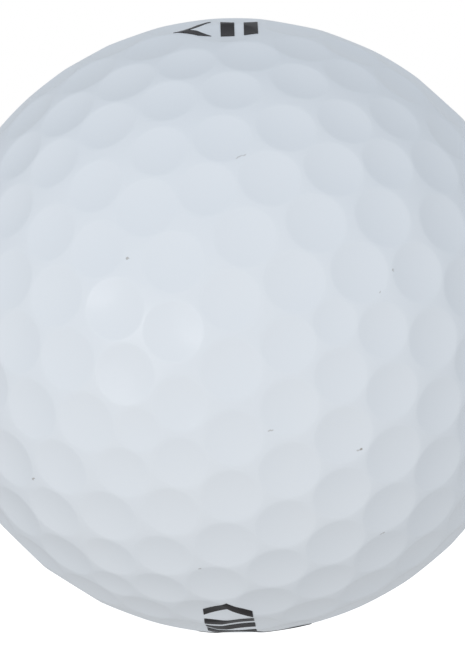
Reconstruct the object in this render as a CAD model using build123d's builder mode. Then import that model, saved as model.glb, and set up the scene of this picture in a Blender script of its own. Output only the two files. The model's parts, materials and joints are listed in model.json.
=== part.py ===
from build123d import *

import math
import os

# A four-layer golf ball: a solid core, a core jacket, a mantle and a dimpled cover with printed
# marks. Millimetres, origin at the ball's centre, +Z up. The layers round the core are moulded
# as pairs of half shells, which meet on the seam plane. The ball lies as it came to rest, so its
# seam is tilted: the pole of the front half points forward and down, and the pole of the rear
# half points back and up.

# --- Driving dimensions -------------------------------------------------------------------

BALL_DIAMETER = 42.67  # the smallest size that the rules of golf allow
COVER_THICKNESS = 0.8
MANTLE_THICKNESS = 1.1
INNER_CORE_DIAMETER = 25.0
DIMPLE_RIM_SLOPE = 8.0  # how steeply a dimple falls away from the plane of its rim, in degrees
INK_THICKNESS = 0.04

MARK_HEIGHT = 3.4
BAR_WIDTH = 0.95
MARK_PITCH = 1.6
CHEVRON_LENGTH = 2.6
SIGHT_LINE_LENGTH = 10.0
SIGHT_LINE_WIDTH = 0.35
SIGHT_LINE_CENTRE = (0.3, 0.8, 0)
SIGHT_LINE_TURN = 6

# How the ball lies: the turns about X, Y and Z that carry its own axes to their resting place.
REST_TURNS = (136.3, 18.5, 142.7)

# The cover halves meet on a wave that passes between the dimples, so no dimple is cut in two.
SEAM_WAVES = 6
SEAM_WAVE_ANGLE = 1.65  # how far the wave swings from the seam plane, in degrees
SEAM_POINTS_PER_WAVE = 12

# --- Dimple pattern -----------------------------------------------------------------------

SECTORS = 6
SECTOR_ANGLE = 360 / SECTORS

POLE_DIMPLE = 4.2
# One sector of one half: the angle from the pole, the angle from the sector's middle line, and
# the dimple's diameter. A dimple off the middle line has a twin on the other side of it, and
# one on the sector's edge is shared with the next sector.
SECTOR_DIMPLES = [
    (11.65, 0.0, 4.1),
    (20.3, 30.0, 4.2),
    (23.6, 0.0, 4.1),
    (31.6, 19.0, 3.95),
    (34.8, 0.0, 3.75),
    (42.4, 30.0, 4.2),
    (42.4, 13.5, 3.75),
    (44.5, 0.0, 3.1),
    (53.0, 7.8, 4.2),
    (53.6, 22.8, 4.1),
    (62.7, 0.0, 4.2),
    (63.2, 14.9, 4.2),
    (64.4, 30.0, 4.2),
    (72.8, 6.4, 4.2),
    (74.3, 18.3, 3.95),
    (76.1, 30.0, 4.2),
    (82.7, 0.0, 4.1),
    (83.4, 11.9, 3.95),
    (85.7, 23.4, 3.95),
]

# --- Worked-out sizes ---------------------------------------------------------------------

BALL_RADIUS = BALL_DIAMETER / 2
MANTLE_RADIUS = BALL_RADIUS - COVER_THICKNESS
OUTER_CORE_RADIUS = MANTLE_RADIUS - MANTLE_THICKNESS
INNER_CORE_RADIUS = INNER_CORE_DIAMETER / 2
CUTTER_OVERSHOOT = 0.04  # how far a dimple's cutter runs past its rim
MARK_CLEARANCE = 1.0  # from the ball to the plane where a mark is drawn
MARK_REACH = 3.0  # from that plane down through the ball's surface, past the mark's far corners

SEAM_PLANE = Plane(Location((0, 0, 0), REST_TURNS))  # its normal is the front half's pole
POLE_AXIS = Axis((0, 0, 0), SEAM_PLANE.z_dir)


def on_ball(from_pole, around, radius=1.0):
    """The point of the seam plane's sphere at an angle from the front pole and one around it."""
    a, b = math.radians(from_pole), math.radians(around)
    x = radius * math.sin(a) * math.cos(b)
    y = radius * math.sin(a) * math.sin(b)
    return SEAM_PLANE.from_local_coords(Vector(x, y, radius * math.cos(a)))


def half_pattern():
    """Each dimple of one half: its angle from that half's pole, its angle around, its diameter."""
    dimples = [(0.0, 0.0, POLE_DIMPLE)]
    for sector in range(SECTORS):
        middle = sector * SECTOR_ANGLE
        for from_pole, aside, diameter in SECTOR_DIMPLES:
            dimples.append((from_pole, middle + aside, diameter))
            if 0 < aside < SECTOR_ANGLE / 2:
                dimples.append((from_pole, middle - aside, diameter))
    return dimples


def dimple_cutter(diameter):
    """A cutter for one dimple on +Z: a shallow spherical cup with a straight wall above it."""
    rim = diameter / 2
    cup_radius = rim / math.sin(math.radians(DIMPLE_RIM_SLOPE))
    cup_centre = math.sqrt(BALL_RADIUS**2 - rim**2) + math.sqrt(cup_radius**2 - rim**2)
    bottom = cup_centre - cup_radius
    edge = rim + CUTTER_OVERSHOOT
    edge_height = cup_centre - math.sqrt(cup_radius**2 - edge**2)
    top = BALL_RADIUS + COVER_THICKNESS
    with BuildPart() as cutter:
        with BuildSketch(Plane.XZ):
            with BuildLine():
                RadiusArc((edge, edge_height), (0, bottom), cup_radius)
                Polyline((0, bottom), (0, top), (edge, top), (edge, edge_height))
            make_face()
        revolve(axis=Axis.Z)
    return cutter.part


def seam_wave(radius):
    """The closed wave on a sphere about the ball's centre, between the two halves' dimples."""
    count = SEAM_WAVES * SEAM_POINTS_PER_WAVE
    points = []
    for i in range(count):
        around = 360 * i / count
        swing = SEAM_WAVE_ANGLE * math.cos(math.radians(SEAM_WAVES * around))
        points.append(on_ball(90 - swing, around, radius))
    return Edge.make_spline(points, periodic=True)


seam_surface = Face.make_surface_from_curves(
    seam_wave(MANTLE_RADIUS - COVER_THICKNESS),
    seam_wave(BALL_RADIUS + COVER_THICKNESS),
)


def facing(direction):
    """A place at the ball's centre whose own +Z points along a direction."""
    return Plane(origin=(0, 0, 0), z_dir=direction).location


def dimple_cuts(front):
    """One half's dimples: for each dimple diameter, its cutter and the places to cut at.

    The rear half has the front half's pattern, mirrored in the seam plane and turned half a
    sector, so that its dimples sit in the gaps of the front half's along the seam.
    """
    places = {}
    for from_pole, around, diameter in half_pattern():
        if not front:
            from_pole, around = 180 - from_pole, around + SECTOR_ANGLE / 2
        places.setdefault(diameter, []).append(facing(on_ball(from_pole, around)))
    return [(dimple_cutter(diameter), places[diameter]) for diameter in places]


# --- Core: a solid ball, and a jacket in two half shells ------------------------------------

with BuildPart() as inner_core:
    Sphere(INNER_CORE_RADIUS)

with BuildPart(SEAM_PLANE) as outer_core_front:
    Sphere(OUTER_CORE_RADIUS)
    Sphere(INNER_CORE_RADIUS, mode=Mode.SUBTRACT)
    split(bisect_by=SEAM_PLANE, keep=Keep.TOP)

with BuildPart(SEAM_PLANE) as outer_core_rear:
    Sphere(OUTER_CORE_RADIUS)
    Sphere(INNER_CORE_RADIUS, mode=Mode.SUBTRACT)
    split(bisect_by=SEAM_PLANE, keep=Keep.BOTTOM)

# --- Mantle: a thin firm layer in two half shells -------------------------------------------

with BuildPart(SEAM_PLANE) as mantle_front:
    Sphere(MANTLE_RADIUS)
    Sphere(OUTER_CORE_RADIUS, mode=Mode.SUBTRACT)
    split(bisect_by=SEAM_PLANE, keep=Keep.TOP)

with BuildPart(SEAM_PLANE) as mantle_rear:
    Sphere(MANTLE_RADIUS)
    Sphere(OUTER_CORE_RADIUS, mode=Mode.SUBTRACT)
    split(bisect_by=SEAM_PLANE, keep=Keep.BOTTOM)

# --- Cover: two dimpled half shells that meet on the seam wave ------------------------------

with BuildPart(SEAM_PLANE) as smooth_cover:
    Sphere(BALL_RADIUS)
    Sphere(MANTLE_RADIUS, mode=Mode.SUBTRACT)
    split(bisect_by=seam_surface, keep=Keep.ALL)
smooth_rear, smooth_front = smooth_cover.solids().sort_by(POLE_AXIS)

front_cuts = dimple_cuts(front=True)
rear_cuts = dimple_cuts(front=False)

with BuildPart() as cover_front:
    add(smooth_front)
    for cutter, places in front_cuts:
        with Locations(*places):
            add(cutter, mode=Mode.SUBTRACT)

with BuildPart() as cover_rear:
    add(smooth_rear)
    for cutter, places in rear_cuts:
        with Locations(*places):
            add(cutter, mode=Mode.SUBTRACT)

# --- Printed marks: thin ink films that follow the dimples ----------------------------------


def mark_plane(elevation, azimuth, turn=0):
    """A plane outside the ball that faces straight out, its X axis level and then turned."""
    outward = Vector(1, 0, 0).rotate(Axis.Y, -elevation).rotate(Axis.Z, azimuth)
    level = Vector(0, 1, 0).rotate(Axis.Z, azimuth).rotate(Axis((0, 0, 0), outward), turn)
    return Plane(origin=outward * (BALL_RADIUS + MARK_CLEARANCE), x_dir=level, z_dir=outward)


def arrow_mark(bars):
    """A chevron that points along -X with a row of upright bars behind it, centred."""
    length = CHEVRON_LENGTH + bars * MARK_PITCH
    half = MARK_HEIGHT / 2
    tip = -length / 2
    tail = tip + CHEVRON_LENGTH
    with BuildSketch() as mark:
        with BuildLine():
            Polyline(
                (tip, 0),
                (tail - BAR_WIDTH, half),
                (tail, half),
                (tip + BAR_WIDTH, 0),
                (tail, -half),
                (tail - BAR_WIDTH, -half),
                close=True,
            )
        make_face()
        for i in range(bars):
            with Locations((tail + (i + 1) * MARK_PITCH - BAR_WIDTH / 2, 0)):
                Rectangle(BAR_WIDTH, MARK_HEIGHT)
    return mark.sketch


short_arrow = arrow_mark(bars=2)
long_arrow = arrow_mark(bars=3)

# A cover half grown by the ink's thickness, less the half itself, is the skin that ink fills.
INK_GROWTH = (BALL_RADIUS + INK_THICKNESS) / BALL_RADIUS
inked_front = scale(cover_front.part, by=INK_GROWTH)
inked_rear = scale(cover_rear.part, by=INK_GROWTH)

with BuildPart() as top_mark:
    with BuildSketch(mark_plane(elevation=73.5, azimuth=-103, turn=13)):
        add(short_arrow)
    extrude(amount=-MARK_REACH)
    add(inked_rear, mode=Mode.INTERSECT)
    add(cover_rear.part, mode=Mode.SUBTRACT)

with BuildPart() as bottom_mark:
    with BuildSketch(mark_plane(elevation=-72, azimuth=-93.5, turn=-90)):
        add(long_arrow)
    extrude(amount=-MARK_REACH)
    add(inked_front, mode=Mode.INTERSECT)
    add(cover_front.part, mode=Mode.SUBTRACT)

with BuildPart() as sight_line:
    with BuildSketch(mark_plane(elevation=-90, azimuth=-90)):
        with Locations(Location(SIGHT_LINE_CENTRE, SIGHT_LINE_TURN)):
            Rectangle(SIGHT_LINE_LENGTH, SIGHT_LINE_WIDTH)
    extrude(amount=-MARK_REACH)
    add(inked_front, mode=Mode.INTERSECT)
    add(cover_front.part, mode=Mode.SUBTRACT)

# --- Files ------------------------------------------------------------------------------------

pieces = {
    "inner_core": inner_core,
    "outer_core_front": outer_core_front,
    "outer_core_rear": outer_core_rear,
    "mantle_front": mantle_front,
    "mantle_rear": mantle_rear,
    "cover_front": cover_front,
    "cover_rear": cover_rear,
    "top_mark": top_mark,
    "bottom_mark": bottom_mark,
    "sight_line": sight_line,
}
os.makedirs("parts", exist_ok=True)
for name, piece in pieces.items():
    piece.part.label = name
    export_step(piece.part, f"parts/{name}.step")
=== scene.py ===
import json
import math

import bmesh
import bpy
import numpy as np
from mathutils import Matrix, Vector


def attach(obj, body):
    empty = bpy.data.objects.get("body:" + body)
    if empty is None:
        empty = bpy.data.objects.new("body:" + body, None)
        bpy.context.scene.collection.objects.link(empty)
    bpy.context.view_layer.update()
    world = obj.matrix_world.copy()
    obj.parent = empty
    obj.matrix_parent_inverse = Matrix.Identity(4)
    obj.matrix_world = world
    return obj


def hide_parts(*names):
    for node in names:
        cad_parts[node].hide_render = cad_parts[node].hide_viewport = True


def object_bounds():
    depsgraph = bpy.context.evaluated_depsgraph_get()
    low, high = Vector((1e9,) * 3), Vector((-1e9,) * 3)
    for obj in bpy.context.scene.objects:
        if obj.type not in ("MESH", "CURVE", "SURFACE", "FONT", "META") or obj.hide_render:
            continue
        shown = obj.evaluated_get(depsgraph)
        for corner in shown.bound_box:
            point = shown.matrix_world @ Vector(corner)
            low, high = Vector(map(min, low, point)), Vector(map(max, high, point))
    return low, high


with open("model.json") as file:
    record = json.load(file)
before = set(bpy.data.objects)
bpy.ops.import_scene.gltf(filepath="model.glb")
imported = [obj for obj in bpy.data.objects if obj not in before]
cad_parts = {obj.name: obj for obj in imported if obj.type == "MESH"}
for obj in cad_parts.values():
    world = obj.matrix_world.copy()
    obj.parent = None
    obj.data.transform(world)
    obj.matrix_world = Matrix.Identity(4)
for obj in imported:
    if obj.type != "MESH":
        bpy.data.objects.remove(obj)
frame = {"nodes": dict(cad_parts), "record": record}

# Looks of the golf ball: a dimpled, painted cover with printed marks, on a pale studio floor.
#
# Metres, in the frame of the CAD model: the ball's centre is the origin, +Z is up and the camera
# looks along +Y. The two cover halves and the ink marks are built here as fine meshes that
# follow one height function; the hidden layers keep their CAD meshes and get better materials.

cad_low, cad_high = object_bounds()

# --- Sizes, from the frame and from the design ----------------------------------------------

MM = 0.001
TEE_SEAT = next(m for m in frame["record"]["mounts"] if m["name"] == "tee_seat")
BALL_RADIUS = -TEE_SEAT["pos_m"][2]
COVER_THICKNESS = 0.8 * MM
MANTLE_RADIUS = BALL_RADIUS - COVER_THICKNESS
INK_THICKNESS = 0.04 * MM

DIMPLE_RIM_SLOPE = math.radians(8.0)
RIM_ROUNDING = 0.022 * MM  # how far the paint rounds a dimple's rim off, in depth
SEAM_WAVES = 6
SEAM_WAVE_ANGLE = 1.65  # how far the wave swings from the seam plane, in degrees

# The dimple pattern, as in the design: the angle from the pole, the angle from the middle line
# of the sector, and the diameter in millimetres.
SECTORS = 6
POLE_DIMPLE = 4.2
SECTOR_DIMPLES = [
    (11.65, 0.0, 4.1),
    (20.3, 30.0, 4.2),
    (23.6, 0.0, 4.1),
    (31.6, 19.0, 3.95),
    (34.8, 0.0, 3.75),
    (42.4, 30.0, 4.2),
    (42.4, 13.5, 3.75),
    (44.5, 0.0, 3.1),
    (53.0, 7.8, 4.2),
    (53.6, 22.8, 4.1),
    (62.7, 0.0, 4.2),
    (63.2, 14.9, 4.2),
    (64.4, 30.0, 4.2),
    (72.8, 6.4, 4.2),
    (74.3, 18.3, 3.95),
    (76.1, 30.0, 4.2),
    (82.7, 0.0, 4.1),
    (83.4, 11.9, 3.95),
    (85.7, 23.4, 3.95),
]

# How the ball lies: the turns that carry its own axes to their resting place.
TURN_X, TURN_Y, TURN_Z = (math.radians(a) for a in (136.3, 18.5, 142.7))
REST_ABOUT_XY = Matrix.Rotation(TURN_X, 3, "X") @ Matrix.Rotation(TURN_Y, 3, "Y")
REST = np.array(REST_ABOUT_XY @ Matrix.Rotation(TURN_Z, 3, "Z"))

# --- The dimple pattern -----------------------------------------------------------------------


def unit(vectors):
    """The vectors, each scaled to length 1."""
    return vectors / np.linalg.norm(vectors, axis=-1, keepdims=True)


def on_ball(from_pole, around):
    """The direction at an angle from the front pole and one around it, in degrees."""
    a, b = np.radians(from_pole), np.radians(around)
    own = np.stack([np.sin(a) * np.cos(b), np.sin(a) * np.sin(b), np.cos(a)], axis=-1)
    return own @ REST.T


def make_pattern():
    """Each dimple's direction, its rim radius, and whether it is on the front half."""
    places = [(0.0, 0.0, POLE_DIMPLE)]
    for sector in range(SECTORS):
        middle = sector * 360 / SECTORS
        for from_pole, aside, diameter in SECTOR_DIMPLES:
            places.append((from_pole, middle + aside, diameter))
            if 0 < aside < 180 / SECTORS:
                places.append((from_pole, middle - aside, diameter))
    front = np.array(places)
    rear = front * (-1, 1, 1) + (180, 180 / SECTORS, 0)
    both = np.concatenate([front, rear])
    return on_ball(both[:, 0], both[:, 1]), both[:, 2] / 2 * MM, np.arange(len(both)) < len(front)


CENTRES, RIMS, IS_FRONT = make_pattern()
RIM_ANGLES = np.arcsin(RIMS / BALL_RADIUS)
CUP_RADII = RIMS / math.sin(DIMPLE_RIM_SLOPE)
CUP_CENTRES = np.sqrt(BALL_RADIUS**2 - RIMS**2) + np.sqrt(CUP_RADII**2 - RIMS**2)
REACH = math.radians(14)  # beyond it a dimple shifts the surface by under a tenth of a micrometre
PATCH_REACH = math.radians(7)  # most of a patch lies within this angle of its dimple's middle
NORMAL_STEP = 1e-4  # the angle between the points that a normal is worked out from


def depth_below_ball(points, dimples):
    """How far the cover lies below the ball's round surface, in the directions given."""
    total = np.zeros(len(points))
    for i in dimples:
        cosine = np.clip(points @ CENTRES[i], -1, 1)
        near = cosine > math.cos(REACH)
        along = CUP_CENTRES[i] * cosine[near]
        inside = CUP_RADII[i] ** 2 - CUP_CENTRES[i] ** 2 + along**2
        depth = BALL_RADIUS - (along - np.sqrt(np.maximum(inside, 0)))
        total[near] += (depth + np.sqrt(depth**2 + RIM_ROUNDING**2)) / 2
    return total


def surface(directions, dimples, lift=0.0):
    """Points on the cover, lifted off it, and the cover's normals there."""
    upright = np.abs(directions[:, 2:]) >= 0.9
    aside = unit(np.cross(directions, np.where(upright, (1, 0, 0), (0, 0, 1))))
    ahead = np.cross(directions, aside)

    def point(where):
        return where * (BALL_RADIUS + lift - depth_below_ball(where, dimples))[:, None]

    across = point(unit(directions + NORMAL_STEP * aside)) - point(unit(directions - NORMAL_STEP * aside))
    along = point(unit(directions + NORMAL_STEP * ahead)) - point(unit(directions - NORMAL_STEP * ahead))
    normals = unit(np.cross(across, along))
    return point(directions), normals


# --- Cover: one patch of rings per dimple, patches meeting halfway between dimples ------------

EDGE_STEP = 0.3 * MM / BALL_RADIUS  # the spacing of points round a patch, as an angle
CUP_RINGS = (0.2, 0.4, 0.58, 0.73, 0.84, 0.92, 0.97, 1.0)  # shares of the rim's angle
LAND_RINGS = (0.35, 0.7)  # shares of the way from the rim to the patch's edge
RIM_LIMIT = 0.98  # the most of the way to a patch's edge that its rim ring may lie
SAME_POINT_DECIMALS = 5  # directions that agree to this many decimals are one point

# The tip of the cone that touches the ball along each rim. A plane through the ball's centre
# at right angles to the line between two tips runs midway between the two rims.
CONE_TIPS = CENTRES / np.cos(RIM_ANGLES)[:, None]


def pattern_triangles():
    """The dimples taken three by three, each three the corners of a face of their convex hull."""
    hull = bmesh.new()
    for i, tip in enumerate(CONE_TIPS):
        hull.verts.new(tip).index = i
    faces = bmesh.ops.convex_hull(hull, input=hull.verts)["geom"]
    triangles = [[v.index for v in f.verts] for f in faces if isinstance(f, bmesh.types.BMFace)]
    hull.free()
    return triangles


def to_seam(directions):
    """The directions moved along the ball's own meridians onto the seam wave."""
    own = directions @ REST
    around = np.degrees(np.arctan2(own[:, 1], own[:, 0]))
    return on_ball(90 - SEAM_WAVE_ANGLE * np.cos(np.radians(SEAM_WAVES * around)), around)


class PatchEdges:
    """The points where patches meet, each kept once, and the points round each patch."""

    def __init__(self):
        self.numbers = {}
        self.directions = []
        self.on_seam = set()
        self.around = [set() for _ in CENTRES]
        sides = {}
        for three in pattern_triangles():
            a, b, c = CONE_TIPS[three]
            corner = unit(np.cross(b - a, c - a))
            corner = corner * np.sign(corner @ a)
            if len(set(IS_FRONT[three])) == 2:
                corner = to_seam(corner[None])[0]
            for one, two in zip(three, three[1:] + three[:1]):
                sides.setdefault((min(one, two), max(one, two)), []).append(corner)
        for (one, two), (start, end) in sides.items():
            self.add_side(one, two, start, end)
        self.directions = np.array(self.directions)

    def add_side(self, one, two, start, end):
        """The side between two dimples' patches, from corner to corner."""
        count = max(1, round(float(np.linalg.norm(end - start)) / EDGE_STEP))
        shares = np.linspace(0, 1, count + 1)[:, None]
        run = unit(start * (1 - shares) + end * shares)
        crossing = IS_FRONT[one] != IS_FRONT[two]
        if crossing:
            run = to_seam(run)
        for direction in run:
            key = tuple(np.round(direction, SAME_POINT_DECIMALS) + 0.0)
            if key not in self.numbers:
                self.numbers[key] = len(self.directions)
                self.directions.append(direction)
            number = self.numbers[key]
            self.around[one].add(number)
            self.around[two].add(number)
            if crossing:
                self.on_seam.add(number)

    def in_order(self, dimple):
        """The points round one patch, in order anticlockwise as seen from outside."""
        numbers = np.array(sorted(self.around[dimple]))
        centre = CENTRES[dimple]
        aside = unit(np.cross(centre, (0.3, 0.5, 0.8)))
        ahead = np.cross(centre, aside)
        points = self.directions[numbers]
        return numbers[np.argsort(np.arctan2(points @ ahead, points @ aside))]


def patch_rings(dimple, edge):
    """The directions of one patch's middle and of its rings, from the middle out."""
    centre = CENTRES[dimple]
    to_edge = np.arccos(np.clip(edge @ centre, -1, 1))[:, None]
    outward = unit(edge - (edge @ centre)[:, None] * centre)
    rim = np.minimum(RIM_ANGLES[dimple], RIM_LIMIT * to_edge)
    angles = [rim * share for share in CUP_RINGS]
    angles += [rim + (to_edge - rim) * share for share in LAND_RINGS]
    rings = [np.cos(a) * centre + np.sin(a) * outward for a in angles]
    return np.concatenate([centre[None]] + rings)


def cover_half(name, front, edges):
    """One half of the cover, as a closed shell: the dimpled outside, the inside and the seam."""
    edge_count = len(edges.directions)
    points, normals, faces = [], [], []
    reachable = CENTRES @ CENTRES.T > math.cos(REACH + PATCH_REACH)
    outer_edge, outer_edge_normals = surface(edges.directions, range(len(CENTRES)))
    points += [outer_edge, edges.directions * MANTLE_RADIUS]
    normals += [outer_edge_normals, -edges.directions]
    total = 2 * edge_count
    for dimple in np.flatnonzero(IS_FRONT == front):
        loop = edges.in_order(dimple)
        count = len(loop)
        rings, ring_normals = surface(
            patch_rings(dimple, edges.directions[loop]), np.flatnonzero(reachable[dimple])
        )
        points += [rings, CENTRES[dimple][None] * MANTLE_RADIUS]
        normals += [ring_normals, -CENTRES[dimple][None]]
        middle, first, inner_middle = total, total + 1, total + len(rings)
        total = inner_middle + 1
        here = np.arange(count)
        after = np.roll(here, -1)
        faces += [(middle, first + a, first + b) for a, b in zip(here, after)]
        ring_starts = [first + i * count + here for i in range(len(CUP_RINGS) + len(LAND_RINGS))]
        for inside, outside in zip(ring_starts, ring_starts[1:] + [loop]):
            faces += list(zip(inside, outside, outside[after], inside[after]))
        inner = loop + edge_count
        faces += [(inner_middle, inner[b], inner[a]) for a, b in zip(here, after)]
        for one, two in zip(loop, loop[after]):
            if one in edges.on_seam and two in edges.on_seam:
                faces.append((one, one + edge_count, two + edge_count, two))
    return mesh_piece(name, np.concatenate(points), faces, np.concatenate(normals))


def mesh_piece(name, points, faces, normals):
    """An object from points, faces and the points' normals, leaving unused points out."""
    used = np.unique(np.concatenate([np.asarray(f) for f in faces]))
    renumber = np.zeros(len(points), int)
    renumber[used] = np.arange(len(used))
    mesh = bpy.data.meshes.new(name)
    mesh.from_pydata(points[used].tolist(), [], [renumber[list(f)].tolist() for f in faces])
    mesh.polygons.foreach_set("use_smooth", np.ones(len(mesh.polygons), bool))
    corners = np.empty(len(mesh.loops), np.int64)
    mesh.loops.foreach_get("vertex_index", corners)
    mesh.normals_split_custom_set(normals[used][corners].tolist())
    mesh.update()
    piece = bpy.data.objects.new(name, mesh)
    bpy.context.collection.objects.link(piece)
    return piece


patch_edges = PatchEdges()
cover_front = cover_half("cover_front_shell", True, patch_edges)
cover_rear = cover_half("cover_rear_shell", False, patch_edges)
for shell, node in ((cover_front, "cover_front"), (cover_rear, "cover_rear")):
    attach(shell, "root")
    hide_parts(node)

# --- Printed marks: ink films that follow the dimples -----------------------------------------

MARK_HEIGHT = 3.4 * MM
BAR_WIDTH = 0.95 * MM
MARK_PITCH = 1.6 * MM
CHEVRON_LENGTH = 2.6 * MM
SIGHT_LINE_LENGTH = 10.0 * MM
SIGHT_LINE_WIDTH = 0.35 * MM
MARK_STEP = 0.1 * MM  # the spacing of a film's points
MARK_REACH = math.radians(40)  # dimples further than this from a mark's place don't shape its film

# Each mark's place: its elevation, its azimuth and its turn about the outward direction.
TOP_MARK_PLACE = (73.5, -103, 13)
BOTTOM_MARK_PLACE = (-72, -93.5, -90)
SIGHT_LINE_PLACE = (-90, -90, 0)
SIGHT_LINE_CENTRE = (0.3 * MM, 0.8 * MM)
SIGHT_LINE_TURN = 6
TOP_MARK_BARS = 2
BOTTOM_MARK_BARS = 3


def mark_axes(elevation, azimuth, turn):
    """The X, Y and outward axes of a mark's place: X level, then turned about the outward one."""
    around = Matrix.Rotation(math.radians(azimuth), 3, "Z")
    raised = Matrix.Rotation(math.radians(-elevation), 3, "Y")
    spin = around @ raised @ Matrix.Rotation(math.radians(turn), 3, "X")
    return tuple(np.array(spin @ Vector(v)) for v in ((0, 1, 0), (0, 0, 1), (1, 0, 0)))


def film(corners, axes):
    """Points, normals and faces of a closed film over a four-cornered patch of the ball."""
    corners = np.array(corners)
    across = max(2, math.ceil(np.linalg.norm(corners[1] - corners[0]) / MARK_STEP))
    along = max(2, math.ceil(np.linalg.norm(corners[3] - corners[0]) / MARK_STEP))
    grid = np.meshgrid(np.linspace(0, 1, across + 1), np.linspace(0, 1, along + 1))
    u, v = (shares.ravel()[:, None] for shares in grid)
    near_side = corners[0] * (1 - u) + corners[1] * u
    far_side = corners[3] * (1 - u) + corners[2] * u
    flat = near_side * (1 - v) + far_side * v
    height = np.sqrt(BALL_RADIUS**2 - (flat**2).sum(axis=1))
    directions = unit(flat @ np.array(axes[:2]) + height[:, None] * axes[2])
    near = np.flatnonzero(CENTRES @ axes[2] > math.cos(MARK_REACH))
    top, normals = surface(directions, near, INK_THICKNESS)
    bottom, _ = surface(directions, near)
    number = np.arange(len(flat)).reshape(along + 1, across + 1)
    quads = np.stack([number[:-1, :-1], number[:-1, 1:], number[1:, 1:], number[1:, :-1]], -1)
    quads = quads.reshape(-1, 4)
    rim = np.concatenate([number[0, :-1], number[:-1, -1], number[-1, :0:-1], number[:0:-1, 0]])
    after = np.roll(rim, -1)
    faces = quads.tolist() + (quads[:, ::-1] + len(flat)).tolist()
    faces += np.stack([rim, rim + len(flat), after + len(flat), after], -1).tolist()
    return np.concatenate([top, bottom]), np.concatenate([normals, -normals]), faces


def mark_piece(name, patches, axes):
    """An ink mark made of four-cornered patches, which stands for the CAD node."""
    points, normals, faces, total = [], [], [], 0
    for corners in patches:
        more_points, more_normals, more_faces = film(corners, axes)
        points.append(more_points)
        normals.append(more_normals)
        faces += [[i + total for i in face] for face in more_faces]
        total += len(more_points)
    piece = mesh_piece(name + "_film", np.concatenate(points), faces, np.concatenate(normals))
    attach(piece, "root")
    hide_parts(name)
    return piece


def arrow_patches(bars):
    """A chevron that points along -X with a row of upright bars behind it, centred."""
    tip = -(CHEVRON_LENGTH + bars * MARK_PITCH) / 2
    tail = tip + CHEVRON_LENGTH
    half = MARK_HEIGHT / 2
    patches = [
        ((tip, 0), (tip + BAR_WIDTH, 0), (tail, half), (tail - BAR_WIDTH, half)),
        ((tail - BAR_WIDTH, -half), (tail, -half), (tip + BAR_WIDTH, 0), (tip, 0)),
    ]
    for i in range(bars):
        right = tail + (i + 1) * MARK_PITCH
        left = right - BAR_WIDTH
        patches.append(((left, -half), (right, -half), (right, half), (left, half)))
    return patches


def line_patches(centre, turn, length, width):
    """A straight line, turned about its centre."""
    c, s = math.cos(math.radians(turn)), math.sin(math.radians(turn))
    ends = [(-length, -width), (length, -width), (length, width), (-length, width)]
    return [[(centre[0] + (x * c - y * s) / 2, centre[1] + (x * s + y * c) / 2) for x, y in ends]]


top_mark = mark_piece("top_mark", arrow_patches(TOP_MARK_BARS), mark_axes(*TOP_MARK_PLACE))
bottom_mark = mark_piece(
    "bottom_mark", arrow_patches(BOTTOM_MARK_BARS), mark_axes(*BOTTOM_MARK_PLACE)
)
sight_line = mark_piece(
    "sight_line",
    line_patches(SIGHT_LINE_CENTRE, SIGHT_LINE_TURN, SIGHT_LINE_LENGTH, SIGHT_LINE_WIDTH),
    mark_axes(*SIGHT_LINE_PLACE),
)

# --- Materials --------------------------------------------------------------------------------


class Shader:
    """A node material under a Principled shader, with short ways to add nodes."""

    def __init__(self, name, **values):
        self.material = bpy.data.materials.new(name)
        self.material.use_nodes = True
        self.tree = self.material.node_tree
        self.main = self.tree.nodes["Principled BSDF"]
        self.place = self.tree.nodes.new("ShaderNodeTexCoord").outputs["Object"]
        for socket, value in values.items():
            self.main.inputs[socket.replace("_", " ")].default_value = value

    def node(self, kind, inputs=(), output=0, **settings):
        """A new node, its inputs set or linked by place, and the output asked for."""
        made = self.tree.nodes.new("ShaderNode" + kind)
        for setting, value in settings.items():
            setattr(made, setting, value)
        for socket, value in dict(inputs).items():
            self.feed(made.inputs[socket], value)
        return made.outputs[output]

    def feed(self, socket, value):
        """Link a node's output to the socket, or set the socket to a plain value."""
        if isinstance(value, bpy.types.NodeSocket):
            self.tree.links.new(value, socket)
        else:
            socket.default_value = value

    def noise(self, size, detail=2.0, roughness=0.5):
        """Noise from 0 to 1 whose features measure about the size given, in metres."""
        inputs = {"Vector": self.place, "Scale": 1 / size, "Detail": detail, "Roughness": roughness}
        return self.node("TexNoise", inputs)

    def ranged(self, value, low, high, to_low, to_high):
        """The value's stretch from low to high, carried to another stretch."""
        return self.node("MapRange", {0: value, 1: low, 2: high, 3: to_low, 4: to_high})

    def mix(self, share, one, two):
        """A colour between two, by share."""
        return self.node("Mix", {0: share, 6: one, 7: two}, 2, data_type="RGBA")

    def bump(self, height, distance):
        """Relief of the height given, as deep as the distance, in metres."""
        normal = self.node("Bump", {"Height": height, "Distance": distance})
        self.feed(self.main.inputs["Normal"], normal)


def direction(azimuth, elevation):
    """The direction at an azimuth and an elevation in the part's frame, in degrees."""
    a, e = math.radians(azimuth), math.radians(elevation)
    return Vector((math.cos(a) * math.cos(e), math.sin(a) * math.cos(e), math.sin(e)))


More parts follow.
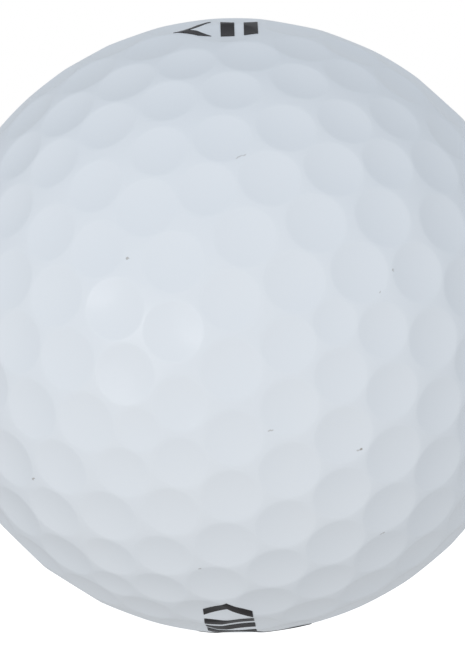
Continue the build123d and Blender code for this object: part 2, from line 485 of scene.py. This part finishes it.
# Specks of grit and short scuffs: azimuth, elevation, length and slant on the ball, half the
# width in millimetres, and how much of the paint's colour they hide.
SPECKS = [
    (-110.0, 12.0, 0.10, 0, 0.09, 0.5),
    (-117.0, -7.0, 0.0, 0, 0.07, 0.4),
    (-83.2, -19.0, 0.35, 5, 0.06, 0.35),
    (-65.1, -22.9, 0.22, 25, 0.10, 0.8),
    (-136.7, -28.9, 0.22, 20, 0.09, 0.55),
    (-82.0, -25.0, 0.0, 0, 0.05, 0.3),
    (-74.0, -11.0, 0.0, 0, 0.06, 0.3),
    (-63.0, 6.0, 0.12, 60, 0.06, 0.35),
    (-60.0, 10.0, 0.1, -70, 0.06, 0.4),
    (-52.0, -41.0, 0.25, 35, 0.07, 0.45),
    (-100.0, -50.0, 0.15, 0, 0.07, 0.4),
    (-123.0, -57.0, 0.0, 0, 0.08, 0.4),
    (-45.0, 15.0, 0.2, 80, 0.07, 0.4),
    (-88.7, 31.9, 0.75, 27, 0.05, 0.3),
    (60.0, 20.0, 0.3, 40, 0.08, 0.5),
    (95.0, -15.0, 0.0, 0, 0.08, 0.4),
    (140.0, 40.0, 0.5, -35, 0.05, 0.35),
    (10.0, 55.0, 0.1, 0, 0.08, 0.4),
    (-160.0, 8.0, 0.0, 0, 0.08, 0.4),
    (20.0, -12.0, 0.2, 15, 0.07, 0.4),
]
GRIT = (0.27, 0.24, 0.2, 1)
SHAKE = 0.25 * MM  # how far noise shifts a speck's outline
SHAKE_SIZE = 0.2 * MM  # the size of that noise's features


def dots_along(azimuth, elevation, length, slant, radius):
    """The points along one speck or scuff, close enough together to read as one stroke."""
    middle = direction(azimuth, elevation)
    level = Vector((-math.sin(math.radians(azimuth)), math.cos(math.radians(azimuth)), 0))
    along = Matrix.Rotation(math.radians(slant), 3, middle) @ level
    count = 1 + math.ceil(length / (1.3 * radius))
    shifts = [0.0] if count == 1 else [length * (i / (count - 1) - 0.5) for i in range(count)]
    return [middle * BALL_RADIUS + along * shift * MM for shift in shifts]


def cover_material():
    """White paint under a clear coat: faint mottling and orange peel, and specks of grit."""
    paint = Shader("cover_paint", IOR=1.45, Coat_Weight=0.3, Coat_Roughness=0.18)
    mottle = paint.noise(6 * MM, 3.0)
    colour = paint.mix(mottle, (0.765, 0.812, 0.865, 1), (0.785, 0.825, 0.868, 1))
    shake = paint.node("TexNoise", {"Vector": paint.place, "Scale": 1 / SHAKE_SIZE}, "Color")
    shaken = paint.node(
        "VectorMath", {0: shake, 1: (SHAKE,) * 3, 2: paint.place}, operation="MULTIPLY_ADD"
    )
    for azimuth, elevation, length, slant, radius, cover in SPECKS:
        for spot in dots_along(azimuth, elevation, length, slant, radius):
            centre = spot + Vector((0.5 * SHAKE,) * 3)
            away = paint.node("VectorMath", {0: shaken, 1: centre}, "Value", operation="DISTANCE")
            share = paint.ranged(away, 0.6 * radius * MM, 1.3 * radius * MM, cover, 0.0)
            colour = paint.mix(share, colour, GRIT)
    paint.feed(paint.main.inputs["Base Color"], colour)
    worn = paint.ranged(paint.noise(4 * MM, 4.0), 0.0, 1.0, 0.29, 0.38)
    paint.feed(paint.main.inputs["Roughness"], worn)
    paint.bump(paint.noise(0.5 * MM, 2.0), 0.002 * MM)
    return paint.material


def ink_material():
    """Black pad-printed ink, with the fine grain of the pad in its colour and gloss."""
    ink = Shader("printed_ink", IOR=1.33, Specular_IOR_Level=0.35)
    grain = ink.noise(0.15 * MM, 3.0)
    black = ink.mix(grain, (0.012, 0.010, 0.011, 1), (0.03, 0.025, 0.025, 1))
    ink.feed(ink.main.inputs["Base Color"], black)
    ink.feed(ink.main.inputs["Roughness"], ink.ranged(grain, 0.0, 1.0, 0.3, 0.5))
    ink.bump(grain, 0.003 * MM)
    return ink.material


ROUGHNESS_SPREAD = 0.08  # how far a moulded layer's roughness strays to either side


def moulded_material(name, dark, light, roughness, grain_size):
    """A moulded layer: matt, with a slow change of tone and a fine grain."""
    layer = Shader(name, Roughness=roughness)
    tone = layer.ranged(layer.noise(5 * MM, 3.0), 0.3, 0.7, 0.0, 1.0)
    layer.feed(layer.main.inputs["Base Color"], layer.mix(tone, dark, light))
    grain = layer.noise(grain_size, 3.0)
    worn = layer.ranged(grain, 0.3, 0.7, roughness - ROUGHNESS_SPREAD, roughness + ROUGHNESS_SPREAD)
    layer.feed(layer.main.inputs["Roughness"], worn)
    layer.bump(grain, 0.01 * MM)
    return layer.material


def give(piece, material):
    """Make the material the piece's only one."""
    piece.data.materials.clear()
    piece.data.materials.append(material)


paint = cover_material()
ink = ink_material()
give(cover_front, paint)
give(cover_rear, paint)
for mark in (top_mark, bottom_mark, sight_line):
    give(mark, ink)

# Each hidden layer: its nodes, what it is made of, its two tones, its roughness and its grain.
HIDDEN_LAYERS = [
    (
        ("outer_core_front", "outer_core_rear"),
        "rubber", (0.05, 0.16, 0.3, 1), (0.07, 0.2, 0.36, 1), 0.6, 0.3 * MM,
    ),
    (
        ("mantle_front", "mantle_rear"),
        "ionomer", (0.5, 0.52, 0.5, 1), (0.58, 0.6, 0.57, 1), 0.45, 0.2 * MM,
    ),
    (
        ("inner_core",),
        "rubber", (0.4, 0.12, 0.03, 1), (0.5, 0.17, 0.05, 1), 0.65, 0.4 * MM,
    ),
]
for nodes, stuff, dark, light, roughness, grain_size in HIDDEN_LAYERS:
    for name in nodes:
        moulded = moulded_material(f"{name}_{stuff}", dark, light, roughness, grain_size)
        give(frame["nodes"][name], moulded)

# --- Light: a soft white room, a lamp at the front left and a fill lamp behind ----------------

ROOM_FACING = (-0.235, -0.971, -0.05)  # the side the room is lit from
ROOM_TONES = {  # by the cosine of the angle from that side
    -1.0: (0.58, 0.605, 0.63),
    -0.55: (0.40, 0.43, 0.465),
    0.45: (0.885, 0.905, 0.93),
    1.0: (0.98, 0.99, 1.005),
}
HEIGHT_TONES = {  # by the sine of the height: warmer light comes off the floor
    -1.0: (0.95, 0.92, 0.885),
    0.0: (1.0, 1.0, 1.0),
    1.0: (0.96, 0.98, 1.0),
}
LAMP_TOWARDS = (-0.57, -0.818, -0.14)
LAMP_SIZE = 0.5
LAMP_ENERGY = 2.3
FILL_TOWARDS = (0.1, 0.98, 0.1)
FILL_SIZE = 0.8
FILL_ENERGY = 4.5
LAMP_DISTANCE = 1.1

bpy.context.scene.view_settings.view_transform = "Standard"


def ramp_node(tree, value, tones):
    """A colour that follows a value from -1 to 1 through the tones given."""
    share = tree.nodes.new("ShaderNodeMapRange")
    share.inputs["From Min"].default_value = -1.0
    tree.links.new(value, share.inputs["Value"])
    ramp = tree.nodes.new("ShaderNodeValToRGB")
    stops = ramp.color_ramp.elements
    stops.remove(stops[1])
    stops[0].color = (*tones[-1.0], 1)
    for at, tone in tones.items():
        if at > -1.0:
            stops.new((at + 1) / 2).color = (*tone, 1)
    tree.links.new(share.outputs[0], ramp.inputs[0])
    return ramp.outputs["Color"]


def mix_node(tree, blend, share, one, two):
    """Two colours mixed or multiplied."""
    mixed = tree.nodes.new("ShaderNodeMix")
    mixed.data_type = "RGBA"
    mixed.blend_type = blend
    for socket, value in ((mixed.inputs[0], share), (mixed.inputs[6], one), (mixed.inputs[7], two)):
        if isinstance(value, bpy.types.NodeSocket):
            tree.links.new(value, socket)
        else:
            socket.default_value = value
    return mixed.outputs[2]


def make_room():
    """The world: white behind the ball, and round it the soft tones of a lit room."""
    world = bpy.data.worlds.new("studio")
    world.use_nodes = True
    bpy.context.scene.world = world
    tree = world.node_tree
    towards = tree.nodes.new("ShaderNodeTexCoord").outputs["Generated"]
    facing = tree.nodes.new("ShaderNodeVectorMath")
    facing.operation = "DOT_PRODUCT"
    facing.inputs[1].default_value = ROOM_FACING
    tree.links.new(towards, facing.inputs[0])
    height = tree.nodes.new("ShaderNodeSeparateXYZ")
    tree.links.new(towards, height.inputs[0])
    round_ball = ramp_node(tree, facing.outputs["Value"], ROOM_TONES)
    by_height = ramp_node(tree, height.outputs["Z"], HEIGHT_TONES)
    light = mix_node(tree, "MULTIPLY", 1.0, round_ball, by_height)
    backdrop = tree.nodes.new("ShaderNodeLightPath").outputs["Is Camera Ray"]
    seen = mix_node(tree, "MIX", backdrop, light, (1, 1, 1, 1))
    tree.links.new(seen, tree.nodes["Background"].inputs["Color"])


def make_lamp(name, towards, size, energy):
    """A round soft lamp that shines at the ball from the direction given."""
    light = bpy.data.lights.new(name, "AREA")
    light.shape = "DISK"
    light.size = size
    light.energy = energy
    lamp = bpy.data.objects.new(name, light)
    lamp.location = Vector(towards).normalized() * LAMP_DISTANCE
    lamp.rotation_euler = Vector(towards).to_track_quat("Z", "Y").to_euler()
    lamp.visible_camera = False
    bpy.context.collection.objects.link(lamp)
    return lamp


make_room()
make_lamp("key", LAMP_TOWARDS, LAMP_SIZE, LAMP_ENERGY)
fill = make_lamp("fill", FILL_TOWARDS, FILL_SIZE, FILL_ENERGY)
fill.visible_glossy = False  # no hot rim where the paint mirrors what is behind the ball

# --- Floor ------------------------------------------------------------------------------------

FLOOR_SIZE = 3.0
FLOOR_GLOW = 0.9  # how brightly the floor shows white to the camera, which lights nothing else

floor_mesh = bpy.data.meshes.new("floor")
half = FLOOR_SIZE / 2
floor_mesh.from_pydata(
    [(x, y, cad_low[2]) for x, y in ((-half, -half), (half, -half), (half, half), (-half, half))],
    [],
    [(0, 1, 2, 3)],
)
floor = bpy.data.objects.new("floor", floor_mesh)
bpy.context.collection.objects.link(floor)
floor.visible_diffuse = False  # the room's own light comes up from below, as off a pale table
floor.visible_glossy = False
table_top = Shader("pale_table", Roughness=0.8)
grain = table_top.noise(2 * MM, 3.0)
pale = table_top.mix(grain, (0.45, 0.445, 0.44, 1), (0.5, 0.495, 0.49, 1))
table_top.feed(table_top.main.inputs["Base Color"], pale)
table_top.feed(table_top.main.inputs["Emission Color"], (1, 1, 1, 1))
table_top.feed(
    table_top.main.inputs["Emission Strength"],
    table_top.ranged(table_top.node("LightPath"), 0.0, 1.0, 0.0, FLOOR_GLOW),
)
give(floor, table_top.material)

# --- Camera: level with the ball's centre, close, through a long lens -------------------------

VIEWING_DISTANCE = 19.5 * BALL_RADIUS
BALL_WIDTH_IN_VIEW = 1.3230  # the ball's width as a share of the image's width
IMAGE_WIDTH, IMAGE_HEIGHT = 465, 645
SENSOR_SIZE = 36.0
SHIFT_X, SHIFT_Y = -0.0042, 0.0048  # move the ball a little off the image's middle

camera_data = bpy.data.cameras.new("camera")
limb = math.tan(math.asin(BALL_RADIUS / VIEWING_DISTANCE))
view_width = 2 * limb / BALL_WIDTH_IN_VIEW
camera_data.sensor_width = SENSOR_SIZE
camera_data.sensor_fit = "VERTICAL"
camera_data.sensor_height = SENSOR_SIZE
camera_data.lens = SENSOR_SIZE / (view_width * IMAGE_HEIGHT / IMAGE_WIDTH)
camera_data.shift_x = SHIFT_X
camera_data.shift_y = SHIFT_Y
camera_data.clip_start = 0.01
camera_data.dof.use_dof = False
camera = bpy.data.objects.new("camera", camera_data)
camera.location = (0, -VIEWING_DISTANCE, 0)
camera.rotation_euler = (math.pi / 2, 0, 0)
bpy.context.collection.objects.link(camera)
bpy.context.scene.camera = camera

bpy.context.view_layer.update()
